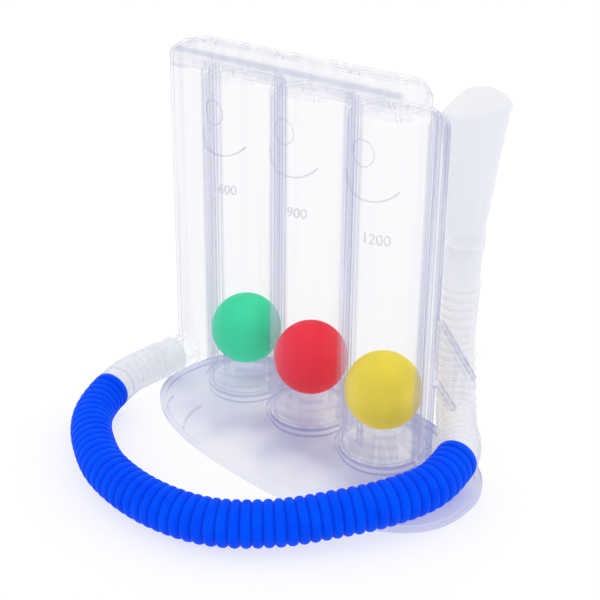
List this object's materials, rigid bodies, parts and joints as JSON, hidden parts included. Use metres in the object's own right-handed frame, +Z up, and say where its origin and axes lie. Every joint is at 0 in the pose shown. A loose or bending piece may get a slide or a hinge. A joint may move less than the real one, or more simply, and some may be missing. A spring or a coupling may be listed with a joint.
{
  "type": "breathing trainer",
  "caption": "Clear breathing trainer with balls that rise in upright chambers as air is drawn through a ribbed hose and mouthpiece.",
  "frame": {"origin": "on the table, below the middle of the housing, foot and mouthpiece taken together", "axes": "+X along the row of chambers from the leg to the free end, -Y the front, +Z up"},
  "size_m": [0.155, 0.1416, 0.145],
  "materials": {
    "clear_shell": "clear polished polystyrene",
    "clear_foot": "clear polished polystyrene",
    "clear_seat": "clear polished polystyrene",
    "green_ball": "smooth",
    "red_ball": "smooth",
    "yellow_ball": "smooth",
    "milky_plastic": "milky translucent",
    "blue_plastic": "satin"
  },
  "bodies": {
    "trainer": {"front_shell": "clear_shell", "rear_shell": "clear_shell", "foot_plate": "clear_foot", "chamber_1_seat": "clear_seat", "chamber_2_seat": "clear_seat", "chamber_3_seat": "clear_seat", "port_cuff": "milky_plastic", "hose_port_end": "milky_plastic", "hose_blue": "blue_plastic", "hose_mouth_end": "milky_plastic", "mouth_cuff": "milky_plastic", "mouthpiece": "milky_plastic", "hose_clip": "clear_seat"},
    "green_ball": {"green_ball": "green_ball"},
    "red_ball": {"red_ball": "red_ball"},
    "yellow_ball": {"yellow_ball": "yellow_ball"}
  },
  "joints": [
    {"name": "green_ball_rise", "type": "slide", "parent": "trainer", "child": "green_ball", "axis": [0, 0, 1], "range_m": [0, 0.0906]},
    {"name": "red_ball_rise", "type": "slide", "parent": "trainer", "child": "red_ball", "axis": [0, 0, 1], "range_m": [0, 0.0906]},
    {"name": "yellow_ball_rise", "type": "slide", "parent": "trainer", "child": "yellow_ball", "axis": [0, 0, 1], "range_m": [0, 0.0906]}
  ]
}
